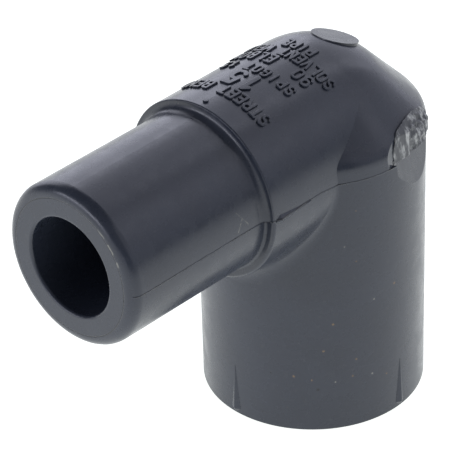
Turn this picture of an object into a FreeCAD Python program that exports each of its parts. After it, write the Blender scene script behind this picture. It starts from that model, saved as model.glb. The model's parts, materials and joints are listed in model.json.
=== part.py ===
import FreeCAD, Part
import math
import os
from FreeCAD import Vector

# A 90 degree street elbow for half-inch pipe: a socket at one end, a pipe-sized spigot at the other.
# Millimetres. The origin is the centre of the socket's open end, the socket's axis is +Z, and the
# spigot points along -X. The mould parts on the horizontal plane through the spigot's axis.

# Socket end
HUB_RADIUS = 14.69
HUB_EDGE_BREAK = 0.16
SOCKET_RADIUS = 10.69
SOCKET_DEPTH = 22.2
SOCKET_LEAD_IN = 0.3
SOCKET_FLOOR_THICKNESS = 2.4

# Bend
SPIGOT_AXIS_HEIGHT = 37.28
COLLAR_RADIUS = 12.03
HEEL_CORNER_RADIUS = 2.6
WATERWAY_RADIUS = 6.48
CROTCH_FILLET_AT_SIDES = 1.5
CROTCH_FILLET_AT_BOTTOM = 4.2
KNUCKLE_END_X = -15.6

# Spigot end. The two mould halves differ at the shoulder: above the parting plane the root fillet
# takes up nearly the whole step, and below it the step is crisp.
SHOULDER_X = -20.2
SHOULDER_EDGE_RADIUS_ABOVE = 0.2
SHOULDER_EDGE_RADIUS_BELOW = 0.45
SPIGOT_ROOT_FILLET_ABOVE = 1.1
SPIGOT_ROOT_FILLET_BELOW = 0.35
SPIGOT_END_X = -43.0
SPIGOT_RADIUS = 10.67
TIP_ROUNDING = 1.54
BORE_MOUTH_ROUNDING = 0.4

# Raised wedges: four on the socket's foot and two on the collar's sides. Each is a ridge that runs
# from a fine point to its broadest place and then closes quickly at the toe.
HUB_RIB_TOE_Z = 0.4
HUB_RIB_BROAD_Z = 0.95
HUB_RIB_TOP_Z = 7.6
HUB_RIB_WIDTH = 1.5
HUB_RIB_PROUD = 0.4
HUB_RIB_ANGLES = {"right": 0, "back": 90, "left": 178.3, "front": 271.7}
COLLAR_RIB_TOE_X = -19.75
COLLAR_RIB_BROAD_X = -19.0
COLLAR_RIB_POINT_X = -13.4
COLLAR_RIB_WIDTH = 1.25
COLLAR_RIB_PROUD = 0.36
COLLAR_RIB_ANGLES = {"front": 269.4, "back": 90.6}
RIB_CREST_SHARE = 0.12
RIB_POINT_WIDTH = 0.1
RIB_POINT_PROUD = 0.04
RIB_TOE_WIDTH = 0.35
RIB_TOE_PROUD = 0.1
RIB_ROOT_DEPTH = 0.6

# Where the sprue was broken off, on the front of the bend: two flats in the wall, one in each mould
# half, and the torn stump on the upper one. Each flat is a plane given by where it faces and its
# distance from the elbow's centre. A circle ends the lower one towards the spigot.
UPPER_FLAT = {"azimuth": -72.6, "elevation": 4.5, "distance": 13.35}
LOWER_FLAT = {"azimuth": -68.6, "elevation": 18.4, "distance": 12.41}
STUMP_TOP = {"azimuth": -90.0, "elevation": 4.5, "distance": 14.2}
FLAT_REACH = 12.0
LOWER_FLAT_AZIMUTH = -65.0
LOWER_FLAT_RADIUS = 6.5
STUMP_AZIMUTH = -71.0
STUMP_RADIUS = 5.3
STUMP_PROUD_OF_HUB = 0.3

# Round flat pad on the heel
HEEL_PAD_RADIUS = 3.1
HEEL_PAD_TILT = 20.0
HEEL_PAD_FACE_FROM_CENTRE = 11.95
HEEL_PAD_SHIFT = 0.8
HEEL_PAD_DEPTH = 4.0

# Raised marking on top of the collar, read from the front to the back with its letters' tops towards
# the spigot: the text, where its foot is along X, its letters' height, and where it starts and ends
# around the collar. Lengths around the collar are measured from its top line.
MARKING_PROUD = 0.22
MARKING_STROKE_SHARE = 0.19
GLYPH_WIDTH = 0.47
MARKING_ROWS = [
    ("STREET BEND", -14.6, 1.8, -7.4, 7.4),
    ("15", -10.7, 3.2, -2.4, 2.4),
    ("SPIGOT 15", -8.4, 1.6, -5.8, 6.4),
    ("90  ELBOW", -5.3, 1.8, -5.9, 7.5),
    ("SOLVENT WELD", -3.0, 1.7, -7.6, 7.7),
    ("PIPE", -0.8, 1.6, -2.4, 2.7),
]
DOT_X = -18.9
DOT_RADIUS = 0.35

CLEAR = 60.0
ORIGIN = Vector(0, 0, 0)
ELBOW_CENTRE = Vector(0, 0, SPIGOT_AXIS_HEIGHT)
UP = Vector(0, 0, 1)
ALONG_SPIGOT = Vector(-1, 0, 0)


def arc_through(start, middle, end):
    return Part.Arc(start, middle, end).toShape()


def on_ball(radius, elevation):
    """Point of the ball corner in the XZ plane, at an angle above the spigot's axis."""
    angle = math.radians(elevation)
    return ELBOW_CENTRE + Vector(radius * math.cos(angle), 0, radius * math.sin(angle))


def rounded_corner(before, corner, after, radius):
    """Start, middle and end of the arc that rounds the corner between two straight runs."""
    back = (before - corner).normalize()
    ahead = (after - corner).normalize()
    half_turn = back.getAngle(ahead) / 2
    setback = radius / math.tan(half_turn)
    start = corner + back * setback
    end = corner + ahead * setback
    bisector = (back + ahead).normalize()
    middle = corner + bisector * (radius / math.sin(half_turn) - radius)
    return start, middle, end


def revolved(edges, origin, axis):
    face = Part.Face(Part.Wire(Part.__sortEdges__(edges)))
    return face.revolve(origin, axis, 360)


def lines_through(points):
    return [Part.makeLine(a, b) for a, b in zip(points, points[1:])]


def stretch(shape, z_low=-CLEAR, z_high=CLEAR, x_low=-CLEAR, x_high=CLEAR, y_high=CLEAR):
    """The part of a shape that lies between upright and level planes."""
    low = Vector(x_low, -CLEAR, z_low)
    return shape.common(Part.makeBox(x_high - x_low, y_high + CLEAR, z_high - z_low, low))


def hub_form(grown=0.0):
    """Outside of the socket end and heel: a tube, a 45 degree cone and a ball corner, about Z."""
    wall = HUB_RADIUS + grown
    ball = COLLAR_RADIUS + grown
    ball_edge = ball / math.sqrt(2)
    wall_base = Vector(wall, 0, HUB_EDGE_BREAK)
    wall_top = Vector(wall, 0, SPIGOT_AXIS_HEIGHT + 2 * ball_edge - wall)
    ball_start = Vector(ball_edge, 0, SPIGOT_AXIS_HEIGHT + ball_edge)
    ball_middle = on_ball(ball, 67.5)
    crown = on_ball(ball, 90)
    corner = rounded_corner(wall_base, wall_top, ball_start, HEEL_CORNER_RADIUS)
    edges = lines_through([
        crown,
        Vector(0, 0, 0),
        Vector(wall - HUB_EDGE_BREAK, 0, 0),
        wall_base,
        corner[0],
    ])
    edges.append(arc_through(*corner))
    edges.append(Part.makeLine(corner[2], ball_start))
    edges.append(arc_through(ball_start, ball_middle, crown))
    return revolved(edges, ORIGIN, UP)


def collar_form(edge_radius):
    """Outside of the collar between the shoulder and the bend, with a rounded shoulder edge."""
    axis_end = Vector(SHOULDER_X, 0, SPIGOT_AXIS_HEIGHT)
    shoulder_corner = axis_end + UP * COLLAR_RADIUS
    run_end = Vector(0, 0, SPIGOT_AXIS_HEIGHT + COLLAR_RADIUS)
    edge = rounded_corner(axis_end, shoulder_corner, run_end, edge_radius)
    edges = lines_through([edge[2], run_end, ELBOW_CENTRE, axis_end, edge[0]])
    edges.append(arc_through(*edge))
    return revolved(edges, ELBOW_CENTRE, ALONG_SPIGOT)


def spigot_form(root_fillet):
    """Outside of the spigot, with a rounded tip and a fillet into the shoulder."""
    base = Vector(SHOULDER_X, 0, SPIGOT_AXIS_HEIGHT)
    tip = Vector(SPIGOT_END_X, 0, SPIGOT_AXIS_HEIGHT)
    tip_corner = tip + UP * SPIGOT_RADIUS
    root_corner = base + UP * SPIGOT_RADIUS
    shoulder_top = base + UP * COLLAR_RADIUS
    nose = rounded_corner(tip, tip_corner, root_corner, TIP_ROUNDING)
    root = rounded_corner(tip_corner, root_corner, shoulder_top, root_fillet)
    edges = lines_through([root[2], base, tip, nose[0]])
    edges.append(arc_through(*nose))
    edges.append(Part.makeLine(nose[2], root[0]))
    edges.append(arc_through(*root))
    return revolved(edges, ELBOW_CENTRE, ALONG_SPIGOT)


def whole_spigot():
    above = stretch(spigot_form(SPIGOT_ROOT_FILLET_ABOVE), z_low=SPIGOT_AXIS_HEIGHT)
    below = stretch(spigot_form(SPIGOT_ROOT_FILLET_BELOW), z_high=SPIGOT_AXIS_HEIGHT)
    return above.fuse(below).removeSplitter()


def waterway():
    """The two straight cores that meet in a ball at the centre of the bend."""
    drop = Part.makeCylinder(WATERWAY_RADIUS, SPIGOT_AXIS_HEIGHT - SOCKET_DEPTH + 1,
                             Vector(0, 0, SOCKET_DEPTH - 1), UP)
    run = Part.makeCylinder(WATERWAY_RADIUS, 1 - SPIGOT_END_X, ELBOW_CENTRE, ALONG_SPIGOT)
    ball = Part.makeSphere(WATERWAY_RADIUS, ELBOW_CENTRE)
    return drop.fuse([run, ball])


def socket_bore():
    """Straight pipe socket, open at z = 0, with a short lead-in chamfer."""
    below = Vector(0, 0, -1)
    lead_in = Vector(SOCKET_RADIUS + SOCKET_LEAD_IN, 0, 0)
    edges = lines_through([
        below,
        Vector(lead_in.x, 0, below.z),
        lead_in,
        Vector(SOCKET_RADIUS, 0, SOCKET_LEAD_IN),
        Vector(SOCKET_RADIUS, 0, SOCKET_DEPTH),
        Vector(0, 0, SOCKET_DEPTH),
        below,
    ])
    return revolved(edges, ORIGIN, UP)


def spigot_mouth():
    """Rounded entry to the spigot's bore, as the ring that is cut away around it."""
    tip = Vector(SPIGOT_END_X, 0, SPIGOT_AXIS_HEIGHT)
    inner = tip + UP * WATERWAY_RADIUS
    outer = tip + UP * (WATERWAY_RADIUS + BORE_MOUTH_ROUNDING)
    inside = inner - ALONG_SPIGOT * BORE_MOUTH_ROUNDING
    corner = rounded_corner(outer + UP, inner, inside - ALONG_SPIGOT, BORE_MOUTH_ROUNDING)
    edges = lines_through([corner[2], inside - UP, tip + UP, corner[0]])
    edges.append(arc_through(*corner))
    return revolved(edges, ELBOW_CENTRE, ALONG_SPIGOT)


def is_crotch_edge(edge):
    """True for the line where the collar's underside meets the hub's wall."""
    middle = edge.valueAt((edge.FirstParameter + edge.LastParameter) / 2)
    from_hub_axis = math.hypot(middle.x, middle.y)
    from_spigot_axis = math.hypot(middle.y, middle.z - SPIGOT_AXIS_HEIGHT)
    on_both = abs(from_hub_axis - HUB_RADIUS) + abs(from_spigot_axis - COLLAR_RADIUS)
    return on_both < 1e-3 and middle.x < 0


def filleted_quarter(quarter):
    """Rounds the crotch, widest under the collar and dying away towards the parting plane."""
    edge = next(e for e in quarter.Edges if is_crotch_edge(e))
    first = edge.valueAt(edge.FirstParameter)
    last = edge.valueAt(edge.LastParameter)
    starts_low = first.z < last.z
    radii = (CROTCH_FILLET_AT_BOTTOM, CROTCH_FILLET_AT_SIDES)
    if not starts_low:
        radii = radii[::-1]
    return quarter.makeFillet(*radii, [edge])


def plain_form():
    """The whole outside of the bend without its flats and raised features."""
    plain_above = hub_form().fuse(collar_form(SHOULDER_EDGE_RADIUS_ABOVE))
    plain_below = hub_form().fuse(collar_form(SHOULDER_EDGE_RADIUS_BELOW))
    above = stretch(plain_above, z_low=SPIGOT_AXIS_HEIGHT)
    near = filleted_quarter(stretch(plain_below, z_high=SPIGOT_AXIS_HEIGHT, y_high=0))
    far = near.mirror(ORIGIN, Vector(0, 1, 0))
    return above.fuse([near, far]).removeSplitter()


def facing(azimuth, elevation):
    flat = math.cos(math.radians(elevation))
    return Vector(
        flat * math.cos(math.radians(azimuth)),
        flat * math.sin(math.radians(azimuth)),
        math.sin(math.radians(elevation)),
    )


def beyond(plane):
    """Everything outside one of the gate's planes, as far as the flats reach sideways."""
    normal = facing(plane["azimuth"], plane["elevation"])
    across = UP.cross(normal).normalize() * FLAT_REACH
    along = normal.cross(across)
    middle = ELBOW_CENTRE + normal * plane["distance"]
    corners = [
        middle - across - along,
        middle + across - along,
        middle + across + along,
        middle - across + along,
    ]
    face = Part.Face(Part.makePolygon(corners + corners[:1]))
    return face.extrude(normal * FLAT_REACH)


def gate_punch(radius, azimuth):
    """A level round bar from the elbow's centre out through the gate."""
    return Part.makeCylinder(radius, CLEAR, ELBOW_CENTRE, facing(azimuth, 0))


def gate_flats():
    """What the mould leaves out of the wall around the gate, above and below the parting plane."""
    above = stretch(beyond(UPPER_FLAT), z_low=SPIGOT_AXIS_HEIGHT)
    below = stretch(beyond(LOWER_FLAT), z_high=SPIGOT_AXIS_HEIGHT)
    return [above, below.common(gate_punch(LOWER_FLAT_RADIUS, LOWER_FLAT_AZIMUTH))]


def gate_scar():
    """The torn stump of the sprue: half a disc on the upper flat, thicker towards the heel."""
    disc = hub_form(STUMP_PROUD_OF_HUB).common(gate_punch(STUMP_RADIUS, STUMP_AZIMUTH))
    half = stretch(disc, z_low=SPIGOT_AXIS_HEIGHT)
    return half.common(beyond(UPPER_FLAT)).cut(beyond(STUMP_TOP))


def pad_cylinder(low, high):
    """A stretch of the heel pad's own cylinder between two distances from the elbow's centre."""
    angle = math.radians(HEEL_PAD_TILT)
    outward = Vector(math.sin(angle), 0, math.cos(angle))
    down_slope = Vector(math.cos(angle), 0, -math.sin(angle))
    base = ELBOW_CENTRE + outward * low + down_slope * HEEL_PAD_SHIFT
    return Part.makeCylinder(HEEL_PAD_RADIUS, high - low, base, outward)


def heel_pad():
    """A short round stub whose face is flat and square to its tilted axis."""
    return pad_cylinder(HEEL_PAD_FACE_FROM_CENTRE - HEEL_PAD_DEPTH, HEEL_PAD_FACE_FROM_CENTRE)


def pad_clearance():
    """The crown of the bend that stands above the heel pad's face."""
    return pad_cylinder(HEEL_PAD_FACE_FROM_CENTRE, HEEL_PAD_FACE_FROM_CENTRE + HEEL_PAD_DEPTH)


def wedge(wall, proud, width, toe_z, broad_z, point_z):
    """A ridge on the +X side of an upright wall of that radius, reaching into the wall."""
    inner = wall - RIB_ROOT_DEPTH

    def section(height, outer, half_width):
        crest = half_width * RIB_CREST_SHARE
        corners = [
            Vector(inner, -half_width, height),
            Vector(wall, -half_width, height),
            Vector(outer, -crest, height),
            Vector(outer, crest, height),
            Vector(wall, half_width, height),
            Vector(inner, half_width, height),
        ]
        return Part.makePolygon(corners + corners[:1])

    toe = section(toe_z, wall + RIB_TOE_PROUD, RIB_TOE_WIDTH / 2)
    broad = section(broad_z, wall + proud, width / 2)
    point = section(point_z, wall + RIB_POINT_PROUD, RIB_POINT_WIDTH / 2)
    return Part.makeLoft([toe, broad, point], True, True)


def hub_rib(angle):
    """One wedge on the socket's foot, broadest just above the open end."""
    rib = wedge(HUB_RADIUS, HUB_RIB_PROUD, HUB_RIB_WIDTH, HUB_RIB_TOE_Z, HUB_RIB_BROAD_Z, HUB_RIB_TOP_Z)
    rib.rotate(ORIGIN, UP, angle)
    return rib


def collar_rib(angle):
    """One wedge on the collar at the parting plane, broadest near the shoulder."""
    rib = wedge(COLLAR_RADIUS, COLLAR_RIB_PROUD, COLLAR_RIB_WIDTH,
                COLLAR_RIB_TOE_X, COLLAR_RIB_BROAD_X, COLLAR_RIB_POINT_X)
    rib.rotate(ORIGIN, UP, angle)
    rib.rotate(ORIGIN, Vector(0, 1, 0), 90)
    rib.translate(ELBOW_CENTRE)
    return rib


def chain(*steps):
    """A glyph's pen path. A step is a point, or a pair of points that an arc passes through."""
    edges = []
    here = Vector(*steps[0], 0)
    for step in steps[1:]:
        if isinstance(step[0], tuple):
            middle, end = (Vector(*point, 0) for point in step)
            edges.append(arc_through(here, middle, end))
        else:
            end = Vector(*step, 0)
            edges.append(Part.makeLine(here, end))
        here = end
    return Part.Wire(edges)


def glyphs():
    """Pen paths of each letter, one unit tall and as wide as w, with the foot at (0, 0)."""
    w = GLYPH_WIDTH
    m = w / 2
    stem = chain((0, 0), (0, 1))
    upper_bowl = chain((0, 1), (m, 1), ((w, 0.75), (m, 0.5)), (0, 0.5))
    lower_bowl = chain((0, 0.5), (m, 0.5), ((w, 0.25), (m, 0)), (0, 0))
    round_top = chain((0, 0.5), (0, 1 - m), ((m, 1), (w, 1 - m)), (w, 0.5))
    round_foot = chain((0, 0.5), (0, m), ((m, 0), (w, m)), (w, 0.5))
    return {
        "B": [stem, upper_bowl, lower_bowl],
        "D": [stem, chain((0, 1), (0.1, 1), ((w, 0.5), (0.1, 0)), (0, 0))],
        "E": [chain((w, 1), (0, 1), (0, 0), (w, 0)), chain((0, 0.5), (0.8 * w, 0.5))],
        "G": [chain((w, 0.8), ((m, 1), (0, 1 - m)), (0, m), ((m, 0), (w, m)), (w, 0.45), (m, 0.45))],
        "I": [chain((m, 0), (m, 1))],
        "L": [chain((0, 1), (0, 0), (w, 0))],
        "N": [chain((0, 0), (0, 1), (w, 0), (w, 1))],
        "O": [round_top, round_foot],
        "P": [stem, upper_bowl],
        "R": [stem, upper_bowl, chain((m, 0.5), (w, 0))],
        "S": [chain((w, 0.8), ((m, 1), (0, 0.75)), ((0.3 * m, 0.57), (m, 0.5)),
                    ((1.7 * m, 0.43), (w, 0.25)), ((m, 0), (0, 0.2)))],
        "T": [chain((0, 1), (w, 1)), chain((m, 0), (m, 1))],
        "V": [chain((0, 1), (m, 0), (w, 1))],
        "W": [chain((-0.04, 1), (0.2 * w, 0), (m, 0.7), (0.8 * w, 0), (w + 0.04, 1))],
        "0": [round_top, round_foot],
        "1": [chain((0.1 * w, 0.78), (m, 1), (m, 0))],
        "5": [chain((w, 1), (0.1, 1), (0.04, 0.56), ((0.7 * w, 0.58), (w, 0.3)), ((m, 0), (0, 0.16)))],
        "9": [chain((w, 0.7), ((m, 1), (0, 0.7)), ((m, 0.42), (0.9 * w, 0.55))),
              chain((w, 0.7), (w, 0.35), ((m, 0), (0, 0.2)))],
    }


def pen_stroke(path, half_width):
    """Flat outline of one pen path drawn with a round nib."""
    if len(path.Edges) > 1:
        return path.makeOffset2D(half_width, 0, True, False, False)
    start, end = (vertex.Point for vertex in path.Vertexes)
    ahead = (end - start).normalize() * half_width
    side = Vector(-ahead.y, ahead.x, 0)
    return Part.Face(Part.Wire([
        Part.makeLine(start + side, end + side),
        arc_through(end + side, end + ahead, end - side),
        Part.makeLine(end - side, start - side),
        arc_through(start - side, start - ahead, start + side),
    ]))


def letter(paths, height):
    """One upright letter in the XY plane, as a prism that starts below the collar's surface."""
    half_width = MARKING_STROKE_SHARE / 2
    strokes = [pen_stroke(path, half_width).extrude(UP) for path in paths]
    solid = strokes[0].fuse(strokes[1:]) if len(strokes) > 1 else strokes[0]
    solid.translate(Vector(-GLYPH_WIDTH / 2, 0, 0))
    solid.scale(height, ORIGIN)
    return solid


def marking_skin():
    """The thin ring on the collar that holds all the raised marking."""
    outer = Part.makeCylinder(COLLAR_RADIUS + MARKING_PROUD, -SHOULDER_X, ELBOW_CENTRE, ALONG_SPIGOT)
    inner = Part.makeCylinder(COLLAR_RADIUS, -SHOULDER_X, ELBOW_CENTRE, ALONG_SPIGOT)
    return outer.cut(inner)


def marking_row(text, foot_x, height, arc_start, arc_end, shapes, skin):
    """One row of raised letters, spread evenly round the collar."""
    pitch = (arc_end - arc_start) / len(text)
    raised = []
    for place, character in enumerate(text):
        if character == " ":
            continue
        solid = letter(shapes[character], height)
        solid.rotate(ORIGIN, UP, 90)
        solid.translate(Vector(foot_x, 0, SPIGOT_AXIS_HEIGHT + COLLAR_RADIUS - height / 2))
        arc = arc_start + pitch * (place + 0.5)
        solid.rotate(ELBOW_CENTRE, ALONG_SPIGOT, math.degrees(arc / COLLAR_RADIUS))
        raised.append(solid.common(skin))
    return Part.makeCompound(raised)


def collar_dot(skin):
    """A small raised dot near the shoulder, on the collar's top line."""
    return Part.makeCylinder(DOT_RADIUS, CLEAR, Vector(DOT_X, 0, SPIGOT_AXIS_HEIGHT), UP).common(skin)


def save(name, shape):
    solids = shape.Solids
    kept = solids[0] if len(solids) == 1 else Part.makeCompound(solids)
    kept.exportStep(os.path.join("parts", name + ".step"))
    state = "valid" if kept.isValid() else "INVALID"
    print(name, len(solids), "solid(s),", round(kept.Volume, 2), "mm3,", state)


def main():
    os.makedirs("parts", exist_ok=True)
    outside = plain_form().cut(gate_flats() + [pad_clearance()])
    hollow = waterway()
    bend = outside.cut([hollow, socket_bore()])
    floor_top = SOCKET_DEPTH + SOCKET_FLOOR_THICKNESS
    save("socket_hub", stretch(bend, z_low=0, z_high=SOCKET_DEPTH))
    save("socket_floor", stretch(bend, z_low=SOCKET_DEPTH, z_high=floor_top, x_low=KNUCKLE_END_X))
    save("elbow_knuckle", stretch(bend, z_low=floor_top, x_low=KNUCKLE_END_X))
    save("spigot_collar", stretch(bend, z_low=SOCKET_DEPTH, x_high=KNUCKLE_END_X))
    save("spigot_tube", whole_spigot().cut([hollow, spigot_mouth()]))
    for side, angle in HUB_RIB_ANGLES.items():
        save("hub_rib_" + side, hub_rib(angle).cut(outside))
    for side, angle in COLLAR_RIB_ANGLES.items():
        save("collar_rib_" + side, collar_rib(angle).cut(outside))
    save("gate_scar", gate_scar().cut(outside))
    save("heel_pad", heel_pad().cut(outside))
    skin = marking_skin()
    shapes = glyphs()
    for number, row in enumerate(MARKING_ROWS, start=1):
        save("marking_row_" + str(number), marking_row(*row, shapes, skin))
    save("collar_dot", collar_dot(skin))


main()
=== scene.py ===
import json
import math

import bpy
from mathutils import Matrix, Vector, noise


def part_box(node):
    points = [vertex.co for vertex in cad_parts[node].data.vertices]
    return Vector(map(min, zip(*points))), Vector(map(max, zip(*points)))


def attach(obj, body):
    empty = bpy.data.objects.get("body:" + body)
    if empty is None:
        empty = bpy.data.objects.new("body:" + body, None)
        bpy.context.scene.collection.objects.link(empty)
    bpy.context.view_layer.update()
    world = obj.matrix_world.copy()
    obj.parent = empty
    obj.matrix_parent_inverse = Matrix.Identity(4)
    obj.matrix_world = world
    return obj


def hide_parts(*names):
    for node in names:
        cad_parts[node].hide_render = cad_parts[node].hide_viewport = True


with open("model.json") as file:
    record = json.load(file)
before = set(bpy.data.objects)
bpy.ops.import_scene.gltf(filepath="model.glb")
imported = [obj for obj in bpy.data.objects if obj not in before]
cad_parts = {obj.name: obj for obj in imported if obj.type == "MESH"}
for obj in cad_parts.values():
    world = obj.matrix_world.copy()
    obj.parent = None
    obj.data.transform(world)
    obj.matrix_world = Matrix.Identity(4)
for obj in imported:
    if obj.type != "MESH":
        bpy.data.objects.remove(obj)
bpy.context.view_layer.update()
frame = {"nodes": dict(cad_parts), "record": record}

MM = 0.001
WHITE = (1.0, 1.0, 1.0, 1.0)
NOISE_MIDDLE = 0.5


def in_millimetres(length):
    """A length read from the frame, to the hundredth of a millimetre that the part is drawn to."""
    return round(length / MM, 2)


# The camera, in metres and degrees: where it looks, how far that point is off the picture's middle,
# and from where it looks. The azimuth is counted round from -Y.
LOOK_AT = Vector((-0.01, 0.0, 0.022))
AIM_RIGHT = -0.00361
AIM_UP = 0.00316
CAMERA_AZIMUTH = -46.24
CAMERA_ELEVATION = 32.97
CAMERA_ROLL = -1.71
CAMERA_DISTANCE = 0.3793
CAMERA_LENS = 228.35
CAMERA_SENSOR = 36.0
CAMERA_NEAR = 0.01
CAMERA_FAR = 10.0

# The table of white paper, in metres. It lies just below the part, so that no two faces coincide.
TABLE_SIZE = 4.0
TABLE_BELOW_PART = 0.00005

# The paper's look. Its glow is full up to one distance from the part and weak from another, in
# millimetres.
TABLE_GLOW = 0.97
TABLE_GLOW_FAR = 0.5
TABLE_BRIGHT_TO = 110.0
TABLE_DIM_FROM = 500.0
TABLE_TINT = (0.97, 1.0, 0.96)
PAPER_DARK = (0.60, 0.60, 0.60)
PAPER_LIGHT = (0.64, 0.64, 0.64)
PAPER_GRAIN = 0.6
PAPER_ROUGHNESS = 0.9

# The soft boxes around it, all at one distance in metres. Each is given by the direction it stands
# in (degrees round from +X, and up), how wide and tall it looks from the part, in degrees, and its
# brightness.
ROOM_LIGHT = 0.1
SOFT_BOX_DISTANCE = 1.2
SOFT_BOX_TINT = (0.93, 0.95, 1.1)
SOFT_BOXES = {
    "strip_left": (156, 16, 45, 12, 4.6),
    "card_far_left": (66, 19, 45, 38, 1.8),
    "box_right": (-68, 33, 46, 52, 0.55),
    "box_right_far": (-23, 33, 46, 52, 0.65),
    "box_far": (22, 29, 46, 58, 1.15),
    "fill_near": (-114, 41, 45, 38, 0.12),
    "card_left": (156, 5, 45, 10, 0.95),
    "card_near_left": (-159, 5, 45, 10, 0.95),
}

# From here on lengths are in millimetres. These are the fitting's own, read from the frame.
mounts = {mount["name"]: mount for mount in frame["record"]["mounts"]}
SPIGOT_RADIUS = mounts["spigot"]["dims"]["r_mm"]
SPIGOT_AXIS_HEIGHT = in_millimetres(mounts["spigot"]["pos_m"][2])
SPIGOT_END_X = in_millimetres(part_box("spigot_tube")[0].x)
SHOULDER_X = in_millimetres(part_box("spigot_collar")[0].x)
HUB_RADIUS = in_millimetres(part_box("socket_hub")[1].x)

# The parting line shows beyond this distance from the spigot's axis or beyond this X, and stops
# short of the tip.
LINE_FROM_AXIS = 9.6
LINE_FROM_X = 8.0
LINE_END_X = SPIGOT_END_X + 0.4

# It steps up at the shoulder, comes down again along the collar, and wanders a little.
COLLAR_LINE_RISE = 0.3
COLLAR_STEP_HALF_LENGTH = 0.1
COLLAR_LINE_FALLS_FROM = -12.0
COLLAR_LINE_FALLS_TO = -8.0
LINE_WANDER = 0.16
LINE_WANDER_LENGTH = 1.6

# The flash along the parting line, which is wide near the gate, and the painted shade along it.
FLASH_HEIGHT = 0.05
FLASH_HALF_WIDTH = 0.13
FLASH_HALF_WIDTH_AT_GATE = 0.34
FLASH_WIDE_TO = 3.5
FLASH_NARROW_FROM = 6.5
LINE_PAINTED_SHADE = 0.85

# The circle that the mould's end plate leaves on the spigot's face, and the chips beside it.
FACE_FULL_TO = 0.05
FACE_GONE_FROM = 0.25
WITNESS_RING_RADIUS = 9.06
WITNESS_RING_FULL_TO = 0.024
WITNESS_RING_GONE_FROM = 0.096
WITNESS_RING_DEPTH = 0.03
WITNESS_RING_DARKENING = 0.7
CHIPS_RADIUS = WITNESS_RING_RADIUS + 0.12
CHIPS_FULL_TO = 0.05
CHIPS_GONE_FROM = 0.18
CHIPS_FRONT_Y = (-6.0, -5.0)
CHIPS_ABOVE_AXIS = (2.5, 4.0)

# The moulded surface's relief, and the rounding of the raised marking's edges.
WAVE_LENGTH = 3.5
WAVE_HEIGHT = 0.02
PEEL_LENGTH = 0.35
PEEL_HEIGHT = 0.002
MARKING_EDGE_RADIUS = 0.13

# The torn stump of the sprue: where it is, the flat it stands on, and how its face is torn. Its
# smooth band ends at a distance to the left of its middle.
GATE_AZIMUTH = -71.0
GATE_FLAT_AZIMUTH = -72.6
GATE_FLAT_ELEVATION = 4.5
GATE_FLAT_FROM_CENTRE = 13.35
STUMP_MESH_SIZE = 0.1
TEAR_DEPTH = 0.5
DEEPEST_TEAR = 0.95
TEAR_SIZE = 1.5
TEAR_OCTAVES = 4
SMOOTH_BAND_FROM = 2.0
STREAK_SIZE = 0.8
STREAK_HEIGHT = 0.12
STREAK_SQUEEZE = (1.0, 1.0, 0.4)

# Colours are linear.
BODY_COLOUR = (0.033, 0.040, 0.059)
BODY_DARK = (0.030, 0.036, 0.053)
BODY_ROUGHNESS_LOW = 0.22
BODY_ROUGHNESS_HIGH = 0.33
TORN_COLOUR = (0.085, 0.09, 0.10)
# The torn face's pale streaks: whitened PVC, and partly a painted highlight.
TORN_WHITENING_AND_HIGHLIGHT = (0.5, 0.51, 0.51)
TORN_ROUGHNESS_LOW = 0.35
TORN_ROUGHNESS_HIGH = 0.6
PALE_SCUFF = (0.22, 0.22, 0.20)
# DARK_LINE is painted shade along the parting line's flash, and the darker tone of the witness ring.
DARK_LINE = (0.006, 0.006, 0.008)
SPECK_TONES = {"pale": (0.34, 0.33, 0.30), "tan": (0.26, 0.17, 0.09), "dark": (0.004, 0.004, 0.005)}

# Specks of dust and filler on the socket's outside: tone, degrees round from +X, height, radius.
# A speck fades between two shares of its radius.
SPECKS = [
    ("tan", -116, 33.0, 0.10),
    ("pale", -122, 28.0, 0.12),
    ("tan", -116, 25.5, 0.12),
    ("tan", -93, 20.0, 0.24),
    ("pale", -106, 19.0, 0.18),
    ("tan", -128, 16.5, 0.20),
    ("tan", -133, 12.5, 0.20),
    ("tan", -116, 10.5, 0.18),
    ("dark", -84, 9.0, 0.22),
    ("tan", -148, 8.5, 0.20),
    ("tan", -139, 8.0, 0.16),
    ("pale", -127, 7.5, 0.16),
    ("dark", -136, 6.5, 0.28),
    ("tan", -118, 8.0, 0.15),
    ("pale", -107, 7.5, 0.18),
    ("tan", -98, 6.5, 0.15),
    ("dark", -165, 2.0, 0.14),
    ("dark", -160, 8.5, 0.14),
]
SPECK_STRENGTH = 0.8
SPECK_RAGGED_SIZE = 0.15
SPECK_EDGE_FROM = 0.9
SPECK_EDGE_TO = 1.5

# The scatter of finer specks: distance between them and their radius, the share that shows, the
# share of those that are tan, and how strongly they show.
SCATTER_SPACING = 3.0
SCATTER_RADIUS = 0.16
SCATTER_SHARE = 0.3
SCATTER_TAN_SHARE = 0.5
SCATTER_STRENGTH = 0.7

# Pale scratches on the spigot: degrees above the parting plane and place along X, at both ends.
SCRATCHES = [
    ((17.0, -24.9), (5.0, -23.2)),
    ((11.0, -24.1), (3.0, -25.0)),
]
SCRATCH_HALF_WIDTH = 0.09
SCRATCH_CORE = 0.3


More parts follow.
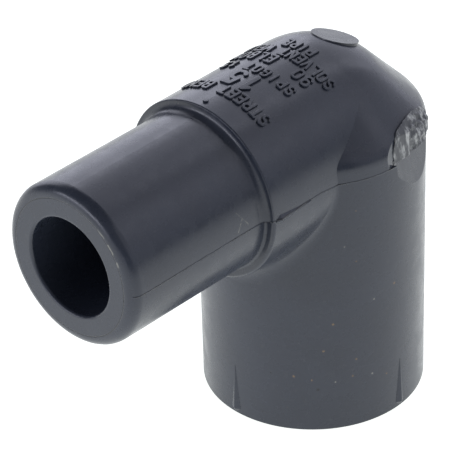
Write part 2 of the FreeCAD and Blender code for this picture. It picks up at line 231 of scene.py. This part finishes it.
class Surface:
    """A Principled material and short ways to add nodes to it. Lengths are in millimetres."""

    def __init__(self, name):
        self.material = bpy.data.materials.new(name)
        self.material.use_nodes = True
        self.tree = self.material.node_tree
        self.shader = self.tree.nodes["Principled BSDF"]
        coordinates = self.tree.nodes.new("ShaderNodeTexCoord")
        self.place = self.vector("SCALE", coordinates.outputs["Object"], scale=1 / MM)
        split = self.tree.nodes.new("ShaderNodeSeparateXYZ")
        self.tree.links.new(self.place, split.inputs["Vector"])
        self.x, self.y, self.z = split.outputs

    def put(self, socket, value):
        """Link a socket to another node's output, or set it to a fixed value."""
        if isinstance(value, bpy.types.NodeSocket):
            self.tree.links.new(value, socket)
        elif value is not None:
            socket.default_value = value

    def put_colour(self, socket, colour):
        self.put(socket, (*colour, 1.0) if isinstance(colour, tuple) else colour)

    def vector(self, operation, first, second=None, scale=None):
        node = self.tree.nodes.new("ShaderNodeVectorMath")
        node.operation = operation
        self.put(node.inputs[0], first)
        self.put(node.inputs[1], second)
        if operation == "SCALE":
            self.put(node.inputs["Scale"], scale)
        gives_number = operation in ("DISTANCE", "LENGTH", "DOT_PRODUCT")
        return node.outputs["Value" if gives_number else "Vector"]

    def math(self, operation, *values):
        node = self.tree.nodes.new("ShaderNodeMath")
        node.operation = operation
        for socket, value in zip(node.inputs, values):
            self.put(socket, value)
        return node.outputs["Value"]

    def product(self, first, *others):
        for other in others:
            first = self.math("MULTIPLY", first, other)
        return first

    def ramp(self, value, low, high, at_low=0.0, at_high=1.0):
        """Smooth step from one value to another as the input goes from low to high."""
        node = self.tree.nodes.new("ShaderNodeMapRange")
        node.interpolation_type = "SMOOTHSTEP"
        numbers = {"From Min": low, "From Max": high, "To Min": at_low, "To Max": at_high}
        for socket_name, number in numbers.items():
            node.inputs[socket_name].default_value = number
        self.put(node.inputs["Value"], value)
        return node.outputs["Result"]

    def near(self, distance, full_to, gone_from):
        """1 up to one distance, fading to 0 at another."""
        return self.ramp(distance, full_to, gone_from, 1.0, 0.0)

    def noise(self, size, detail=2.0, roughness=0.5, place=None):
        """Noise from 0 to 1 whose lumps are about the given size."""
        node = self.tree.nodes.new("ShaderNodeTexNoise")
        self.put(node.inputs["Vector"], self.place if place is None else place)
        node.inputs["Scale"].default_value = 1 / size
        node.inputs["Detail"].default_value = detail
        node.inputs["Roughness"].default_value = roughness
        return node.outputs["Fac"]

    def patches(self, size, low, high, at_low=0.0, at_high=1.0, detail=2.0, roughness=0.5):
        """Patches of about the given size: one value where the noise is low, another where high."""
        return self.ramp(self.noise(size, detail, roughness), low, high, at_low, at_high)

    def mix(self, factor, first, second):
        """One colour where the factor is 0 and another where it is 1."""
        node = self.tree.nodes.new("ShaderNodeMix")
        node.data_type = "RGBA"
        inputs = {socket.identifier: socket for socket in node.inputs}
        outputs = {socket.identifier: socket for socket in node.outputs}
        self.put(inputs["Factor_Float"], factor)
        self.put_colour(inputs["A_Color"], first)
        self.put_colour(inputs["B_Color"], second)
        return outputs["Result_Color"]

    def bump(self, height, before=None):
        """Shading normals for a relief of the given height, on top of the normals before it."""
        node = self.tree.nodes.new("ShaderNodeBump")
        node.inputs["Strength"].default_value = 1.0
        node.inputs["Distance"].default_value = MM
        self.put(node.inputs["Height"], height)
        self.put(node.inputs["Normal"], before)
        return node.outputs["Normal"]

    def near_segment(self, start, end, half_width):
        """1 on the straight line between two points, fading to 0 at the half width."""
        along = end - start
        from_start = self.vector("SUBTRACT", self.place, start)
        share = self.math("DIVIDE", self.vector("DOT_PRODUCT", from_start, along), along.length_squared)
        share = self.math("MINIMUM", self.math("MAXIMUM", share, 0.0), 1.0)
        foot = self.vector("SCALE", tuple(along), scale=share)
        distance = self.vector("DISTANCE", from_start, foot)
        return self.near(distance, SCRATCH_CORE * half_width, half_width)


def round_from_x(azimuth, elevation):
    """Unit vector towards a direction given in degrees round from +X and up."""
    azimuth, elevation = math.radians(azimuth), math.radians(elevation)
    return Vector((
        math.cos(azimuth) * math.cos(elevation),
        math.sin(azimuth) * math.cos(elevation),
        math.sin(elevation),
    ))


def add_camera():
    angles = (CAMERA_AZIMUTH, CAMERA_ELEVATION, CAMERA_ROLL)
    azimuth, elevation, roll = (math.radians(angle) for angle in angles)
    back = Vector((
        math.sin(azimuth) * math.cos(elevation),
        -math.cos(azimuth) * math.cos(elevation),
        math.sin(elevation),
    ))
    level_right = Vector((math.cos(azimuth), math.sin(azimuth), 0.0))
    level_up = back.cross(level_right)
    right = level_right * math.cos(roll) + level_up * math.sin(roll)
    up = level_up * math.cos(roll) - level_right * math.sin(roll)
    data = bpy.data.cameras.new("camera")
    data.lens = CAMERA_LENS
    data.sensor_width = CAMERA_SENSOR
    data.clip_start = CAMERA_NEAR
    data.clip_end = CAMERA_FAR
    camera = bpy.data.objects.new("camera", data)
    place = LOOK_AT + right * AIM_RIGHT + up * AIM_UP + back * CAMERA_DISTANCE
    camera.matrix_world = Matrix((
        (right.x, up.x, back.x, place.x),
        (right.y, up.y, back.y, place.y),
        (right.z, up.z, back.z, place.z),
        (0.0, 0.0, 0.0, 1.0),
    ))
    bpy.context.scene.collection.objects.link(camera)
    bpy.context.scene.camera = camera


def add_world():
    world = bpy.data.worlds.new("studio")
    world.use_nodes = True
    background = world.node_tree.nodes["Background"]
    background.inputs["Color"].default_value = WHITE
    background.inputs["Strength"].default_value = ROOM_LIGHT
    bpy.context.scene.world = world


def add_soft_box(name, azimuth, elevation, width, height, brightness):
    """An area light that faces the part. Its power grows with its area, so it looks as bright as given."""
    data = bpy.data.lights.new(name, "AREA")
    data.shape = "RECTANGLE"
    data.color = SOFT_BOX_TINT
    data.size = 2 * SOFT_BOX_DISTANCE * math.tan(math.radians(width / 2))
    data.size_y = 2 * SOFT_BOX_DISTANCE * math.tan(math.radians(height / 2))
    data.energy = math.pi * brightness * data.size * data.size_y
    box = bpy.data.objects.new(name, data)
    outward = round_from_x(azimuth, elevation)
    box.location = LOOK_AT + outward * SOFT_BOX_DISTANCE
    box.rotation_euler = (-outward).to_track_quat("-Z", "Y").to_euler()
    bpy.context.scene.collection.objects.link(box)


def table_paper():
    """Matt white paper that glows like the top of a light table."""
    paper = Surface("floor_paper")
    grain = paper.noise(PAPER_GRAIN, detail=3.0)
    paper.put(paper.shader.inputs["Base Color"], paper.mix(grain, PAPER_DARK, PAPER_LIGHT))
    paper.shader.inputs["Roughness"].default_value = PAPER_ROUGHNESS
    paper.put_colour(paper.shader.inputs["Emission Color"], TABLE_TINT)
    from_middle = paper.vector("LENGTH", paper.place)
    glow = paper.ramp(from_middle, TABLE_BRIGHT_TO, TABLE_DIM_FROM, TABLE_GLOW, TABLE_GLOW_FAR)
    paper.put(paper.shader.inputs["Emission Strength"], glow)
    return paper.material


def add_table():
    bpy.ops.mesh.primitive_plane_add(size=TABLE_SIZE, location=(0, 0, -TABLE_BELOW_PART))
    table = bpy.context.object
    table.name = "floor"
    table.data.materials.append(table_paper())


def from_spigot_axis(body):
    """A point's distance from the spigot's axis."""
    from_elbow = body.vector("SUBTRACT", body.place, (0.0, 0.0, SPIGOT_AXIS_HEIGHT))
    return body.vector("LENGTH", body.vector("MULTIPLY", from_elbow, (0.0, 1.0, 1.0)))


def where_line_shows(body):
    """1 on the fitting's outside near the parting plane, 0 in its bores and on its end face."""
    wall = body.math("GREATER_THAN", from_spigot_axis(body), LINE_FROM_AXIS)
    heel = body.math("GREATER_THAN", body.x, LINE_FROM_X)
    tip = body.math("GREATER_THAN", body.x, LINE_END_X)
    return body.product(body.math("MAXIMUM", wall, heel), tip)


def above_parting_line(body):
    """How far a point is above the parting line, with the line's step on the collar and its wander."""
    on_collar = body.product(
        body.ramp(body.x, SHOULDER_X - COLLAR_STEP_HALF_LENGTH, SHOULDER_X + COLLAR_STEP_HALF_LENGTH),
        body.near(body.x, COLLAR_LINE_FALLS_FROM, COLLAR_LINE_FALLS_TO),
    )
    sway = body.math("SUBTRACT", body.noise(LINE_WANDER_LENGTH), NOISE_MIDDLE)
    line = body.math("ADD", body.product(on_collar, COLLAR_LINE_RISE), body.product(sway, LINE_WANDER))
    above_axis = body.math("SUBTRACT", body.z, SPIGOT_AXIS_HEIGHT)
    return body.math("SUBTRACT", above_axis, line)


def parting_flash(body):
    """1 in the middle of the flash along the parting line, fading to 0 at its sides."""
    gate = round_from_x(GATE_AZIMUTH, 0) * HUB_RADIUS + Vector((0, 0, SPIGOT_AXIS_HEIGHT))
    from_gate = body.vector("DISTANCE", body.place, gate)
    widths = (FLASH_HALF_WIDTH_AT_GATE, FLASH_HALF_WIDTH)
    half_width = body.ramp(from_gate, FLASH_WIDE_TO, FLASH_NARROW_FROM, *widths)
    off_line = body.math("ABSOLUTE", above_parting_line(body))
    flash = body.near(body.math("DIVIDE", off_line, half_width), 0.0, 1.0)
    return body.product(where_line_shows(body), flash)


def on_spigot_face(body):
    """1 on the spigot's end face, fading to 0 just behind it."""
    return body.near(body.x, SPIGOT_END_X + FACE_FULL_TO, SPIGOT_END_X + FACE_GONE_FROM)


def from_circle(body, radius):
    """A point's distance from a circle's cylinder around the spigot's axis."""
    return body.math("ABSOLUTE", body.math("SUBTRACT", from_spigot_axis(body), radius))


def witness_ring(body):
    """The thin circle that the mould's end plate leaves on the spigot's face."""
    off_ring = from_circle(body, WITNESS_RING_RADIUS)
    ring = body.near(off_ring, WITNESS_RING_FULL_TO, WITNESS_RING_GONE_FROM)
    return body.product(on_spigot_face(body), ring)


def ring_chips(body):
    """Pale chipped places along the witness circle, on the upper front of the spigot's face."""
    band = body.near(from_circle(body, CHIPS_RADIUS), CHIPS_FULL_TO, CHIPS_GONE_FROM)
    front = body.near(body.y, *CHIPS_FRONT_Y)
    upper_from, upper_to = (SPIGOT_AXIS_HEIGHT + height for height in CHIPS_ABOVE_AXIS)
    corner = body.product(front, body.ramp(body.z, upper_from, upper_to))
    chipped = body.patches(size=0.9, low=0.45, high=0.55)
    return body.product(on_spigot_face(body), band, corner, chipped)


def scratch_marks(body):
    """The pale scratches on the spigot's side, stronger in some places than in others."""
    marks = 0.0
    for ends in SCRATCHES:
        points = []
        for angle, x in ends:
            level, rise = math.cos(math.radians(angle)), math.sin(math.radians(angle))
            points.append(Vector((x, -SPIGOT_RADIUS * level, SPIGOT_AXIS_HEIGHT + SPIGOT_RADIUS * rise)))
        mark = body.near_segment(*points, SCRATCH_HALF_WIDTH)
        marks = body.math("MAXIMUM", marks, mark)
    return body.product(marks, body.patches(size=0.5, low=0.35, high=0.6, at_low=0.1, at_high=0.8))


def add_scatter(body, colour):
    """A thin scatter of fine specks all over: one in some of the cells of a Voronoi pattern."""
    cells = body.tree.nodes.new("ShaderNodeTexVoronoi")
    body.put(cells.inputs["Vector"], body.place)
    cells.inputs["Scale"].default_value = 1 / SCATTER_SPACING
    draws = body.tree.nodes.new("ShaderNodeSeparateColor")
    body.put(draws.inputs["Color"], cells.outputs["Color"])
    speck = body.near(cells.outputs["Distance"], 0.0, SCATTER_RADIUS / SCATTER_SPACING)
    shows = body.math("GREATER_THAN", draws.outputs["Red"], 1 - SCATTER_SHARE)
    is_tan = body.math("GREATER_THAN", draws.outputs["Green"], 1 - SCATTER_TAN_SHARE)
    tone = body.mix(is_tan, SPECK_TONES["dark"], SPECK_TONES["tan"])
    return body.mix(body.product(speck, shows, SCATTER_STRENGTH), colour, tone)


def add_specks(body, colour):
    """The larger specks, each a round spot with a ragged edge."""
    for tone, angle, height, radius in SPECKS:
        centre = round_from_x(angle, 0) * HUB_RADIUS + Vector((0, 0, height))
        distance = body.vector("DISTANCE", body.place, centre)
        ragged = body.math("MULTIPLY_ADD", body.noise(SPECK_RAGGED_SIZE), radius, distance)
        spot = body.ramp(ragged, SPECK_EDGE_FROM * radius, SPECK_EDGE_TO * radius, SPECK_STRENGTH, 0.0)
        colour = body.mix(spot, colour, SPECK_TONES[tone])
    return colour


def body_colour(body, flash, ring):
    """Mottled grey with haze, painted shade along the flash, a darker ring, chips, scratches and specks."""
    mottle = body.patches(size=5.0, detail=4.0, low=0.3, high=0.7)
    haze = body.patches(size=0.7, detail=5.0, roughness=0.7, low=0.55, high=0.8, at_high=0.12)
    line_shade_patches = body.patches(size=1.1, detail=3.0, low=0.38, high=0.6, at_low=0.15)
    layers = [
        (haze, PALE_SCUFF),
        # Painted shade: a dark line, in patches, along the parting line's flash.
        (body.product(flash, line_shade_patches, LINE_PAINTED_SHADE), DARK_LINE),
        # The witness ring is drawn darker than the face around it.
        (body.product(ring, WITNESS_RING_DARKENING), DARK_LINE),
        (ring_chips(body), PALE_SCUFF),
        (scratch_marks(body), PALE_SCUFF),
    ]
    colour = body.mix(mottle, BODY_DARK, BODY_COLOUR)
    for cover, tone in layers:
        colour = body.mix(cover, colour, tone)
    return add_specks(body, add_scatter(body, colour))


def body_relief(body, flash, ring):
    """The surface's height: slow waves, a fine peel, the raised flash and the ring's groove."""
    waves = body.product(body.noise(WAVE_LENGTH, detail=1.0), WAVE_HEIGHT)
    peel = body.math("MULTIPLY_ADD", body.noise(PEEL_LENGTH), PEEL_HEIGHT, waves)
    ridge = body.math("MULTIPLY_ADD", flash, FLASH_HEIGHT, peel)
    return body.math("MULTIPLY_ADD", ring, -WITNESS_RING_DEPTH, ridge)


def rounded_edges(body, radius):
    """Shading normals that round a solid's sharp edges."""
    bevel = body.tree.nodes.new("ShaderNodeBevel")
    bevel.inputs["Radius"].default_value = radius * MM
    return bevel.outputs["Normal"]


def moulded_body(name, edge_radius=0.0):
    """Dark grey moulded PVC with its parting line, mould marks, scuffs and specks."""
    body = Surface(name)
    flash = parting_flash(body)
    ring = witness_ring(body)
    wear = body.patches(
        size=2.5,
        detail=5.0,
        roughness=0.65,
        low=0.3,
        high=0.7,
        at_low=BODY_ROUGHNESS_LOW,
        at_high=BODY_ROUGHNESS_HIGH,
    )
    edges = rounded_edges(body, edge_radius) if edge_radius else None
    body.put(body.shader.inputs["Base Color"], body_colour(body, flash, ring))
    body.put(body.shader.inputs["Roughness"], wear)
    body.put(body.shader.inputs["Normal"], body.bump(body_relief(body, flash, ring), edges))
    return body.material


def torn_plastic():
    """PVC whitened in streaks where it was torn, drawn out upwards. The pale streaks are also painted
    highlights on the torn face.
    """
    torn = Surface("torn_plastic")
    drawn_out = torn.vector("MULTIPLY", torn.place, STREAK_SQUEEZE)
    streaks = torn.noise(STREAK_SIZE, detail=4.0, roughness=0.6, place=drawn_out)
    # The pale streaks are partly whitening of the torn PVC and partly painted highlight.
    pale = torn.ramp(streaks, low=0.45, high=0.68)
    wear = torn.patches(size=0.4, low=0.3, high=0.7, at_low=TORN_ROUGHNESS_LOW, at_high=TORN_ROUGHNESS_HIGH)
    torn.put(torn.shader.inputs["Base Color"], torn.mix(pale, TORN_COLOUR, TORN_WHITENING_AND_HIGHLIGHT))
    torn.put(torn.shader.inputs["Roughness"], wear)
    torn.put(torn.shader.inputs["Normal"], torn.bump(torn.product(streaks, STREAK_HEIGHT)))
    return torn.material


def fine_copy(source, name, mesh_size):
    """A copy of an object with an even, fine mesh."""
    copy = source.copy()
    copy.data = source.data.copy()
    copy.name = name
    bpy.context.scene.collection.objects.link(copy)
    remesh = copy.modifiers.new("fine", "REMESH")
    remesh.mode = "VOXEL"
    remesh.voxel_size = mesh_size * MM
    evaluated = copy.evaluated_get(bpy.context.evaluated_depsgraph_get())
    fine = bpy.data.meshes.new_from_object(evaluated)
    copy.modifiers.clear()
    copy.data = fine
    return copy


def tear_face(mesh):
    """Sink the stump's face towards its flat by uneven amounts, except in its smooth left band."""
    outward = round_from_x(GATE_FLAT_AZIMUTH, GATE_FLAT_ELEVATION)
    across = Vector((0, 0, 1)).cross(outward).normalized()
    elbow = Vector((0, 0, SPIGOT_AXIS_HEIGHT))
    for vertex in mesh.vertices:
        place = vertex.co / MM - elbow
        thickness = max(place.dot(outward) - GATE_FLAT_FROM_CENTRE, 0.0)
        torn_share = min(max(place.dot(across) + SMOOTH_BAND_FROM, 0.0), 1.0)
        tear = noise.turbulence(place / TEAR_SIZE, TEAR_OCTAVES, True)
        vertex.co -= outward * MM * thickness * min(TEAR_DEPTH * tear * torn_share, DEEPEST_TEAR)
    mesh.update()


def torn_stump(material):
    """The sprue's stump with a ragged face, in place of the clean-cut one."""
    stump = fine_copy(frame["nodes"]["gate_scar"], "torn_stump", STUMP_MESH_SIZE)
    tear_face(stump.data)
    stump.data.shade_smooth()
    stump.data.materials.clear()
    stump.data.materials.append(material)
    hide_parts("gate_scar")
    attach(stump, "root")


def dress_cad_nodes(body, marking, torn):
    for name, node in frame["nodes"].items():
        if name == "gate_scar":
            material = torn
        elif name.startswith("marking_row") or name == "collar_dot":
            material = marking
        else:
            material = body
        for slot in node.material_slots:
            slot.material = material


bpy.context.scene.view_settings.view_transform = "Standard"
add_camera()
add_world()
for box_name, box in SOFT_BOXES.items():
    add_soft_box(box_name, *box)
add_table()
torn = torn_plastic()
dress_cad_nodes(moulded_body("moulded_body"), moulded_body("raised_marking", MARKING_EDGE_RADIUS), torn)
torn_stump(torn)
